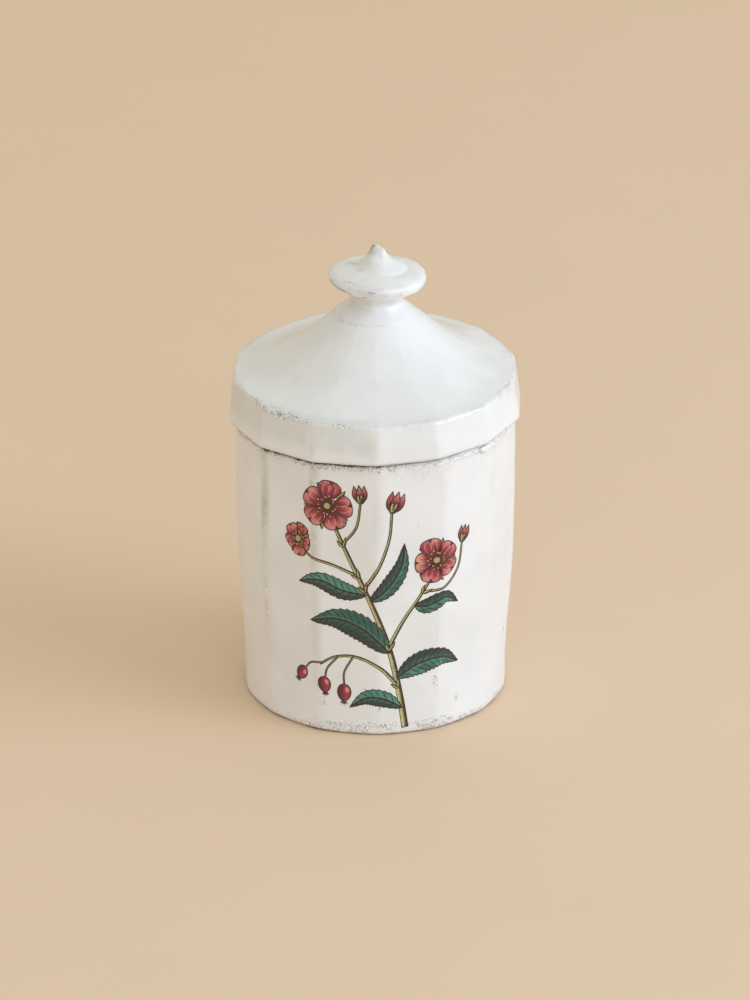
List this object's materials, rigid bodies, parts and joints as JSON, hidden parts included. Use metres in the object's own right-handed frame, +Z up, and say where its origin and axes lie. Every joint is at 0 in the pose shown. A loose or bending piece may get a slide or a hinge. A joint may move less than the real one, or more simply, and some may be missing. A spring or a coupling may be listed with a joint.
{
  "type": "lidded ceramic box",
  "caption": "Faceted round ceramic box with a tapered jar and a lift-off domed lid with a turned knob, in milky white glaze over dark clay.",
  "frame": {"origin": "centre of the foot, on the surface that the box stands on", "axes": "+Z up along the box, -Y towards the front that carries the picture, +X to the right as seen from the front"},
  "size_m": [0.0911, 0.093, 0.1493],
  "materials": {
    "white_glaze": "milky glossy white glaze, broken over the edges so that the dark clay shows",
    "dark_clay": "bare dark brown stoneware, fired matt",
    "picture_enamel": "thin glossy fired enamels in crimson, pink, teal green and olive with a dark outline"
  },
  "bodies": {
    "jar": {"jar_floor": "white_glaze", "jar_wall": "white_glaze"},
    "lid": {"lid_cover": "white_glaze", "lid_locating_ring": "dark_clay", "knob_collar": "white_glaze", "knob_disc": "white_glaze", "knob_finial": "white_glaze"}
  },
  "joints": [
    {"name": "lid_lift", "type": "slide", "parent": "jar", "child": "lid", "axis": [0, 0, 1], "range_m": [0, 0.06]}
  ]
}
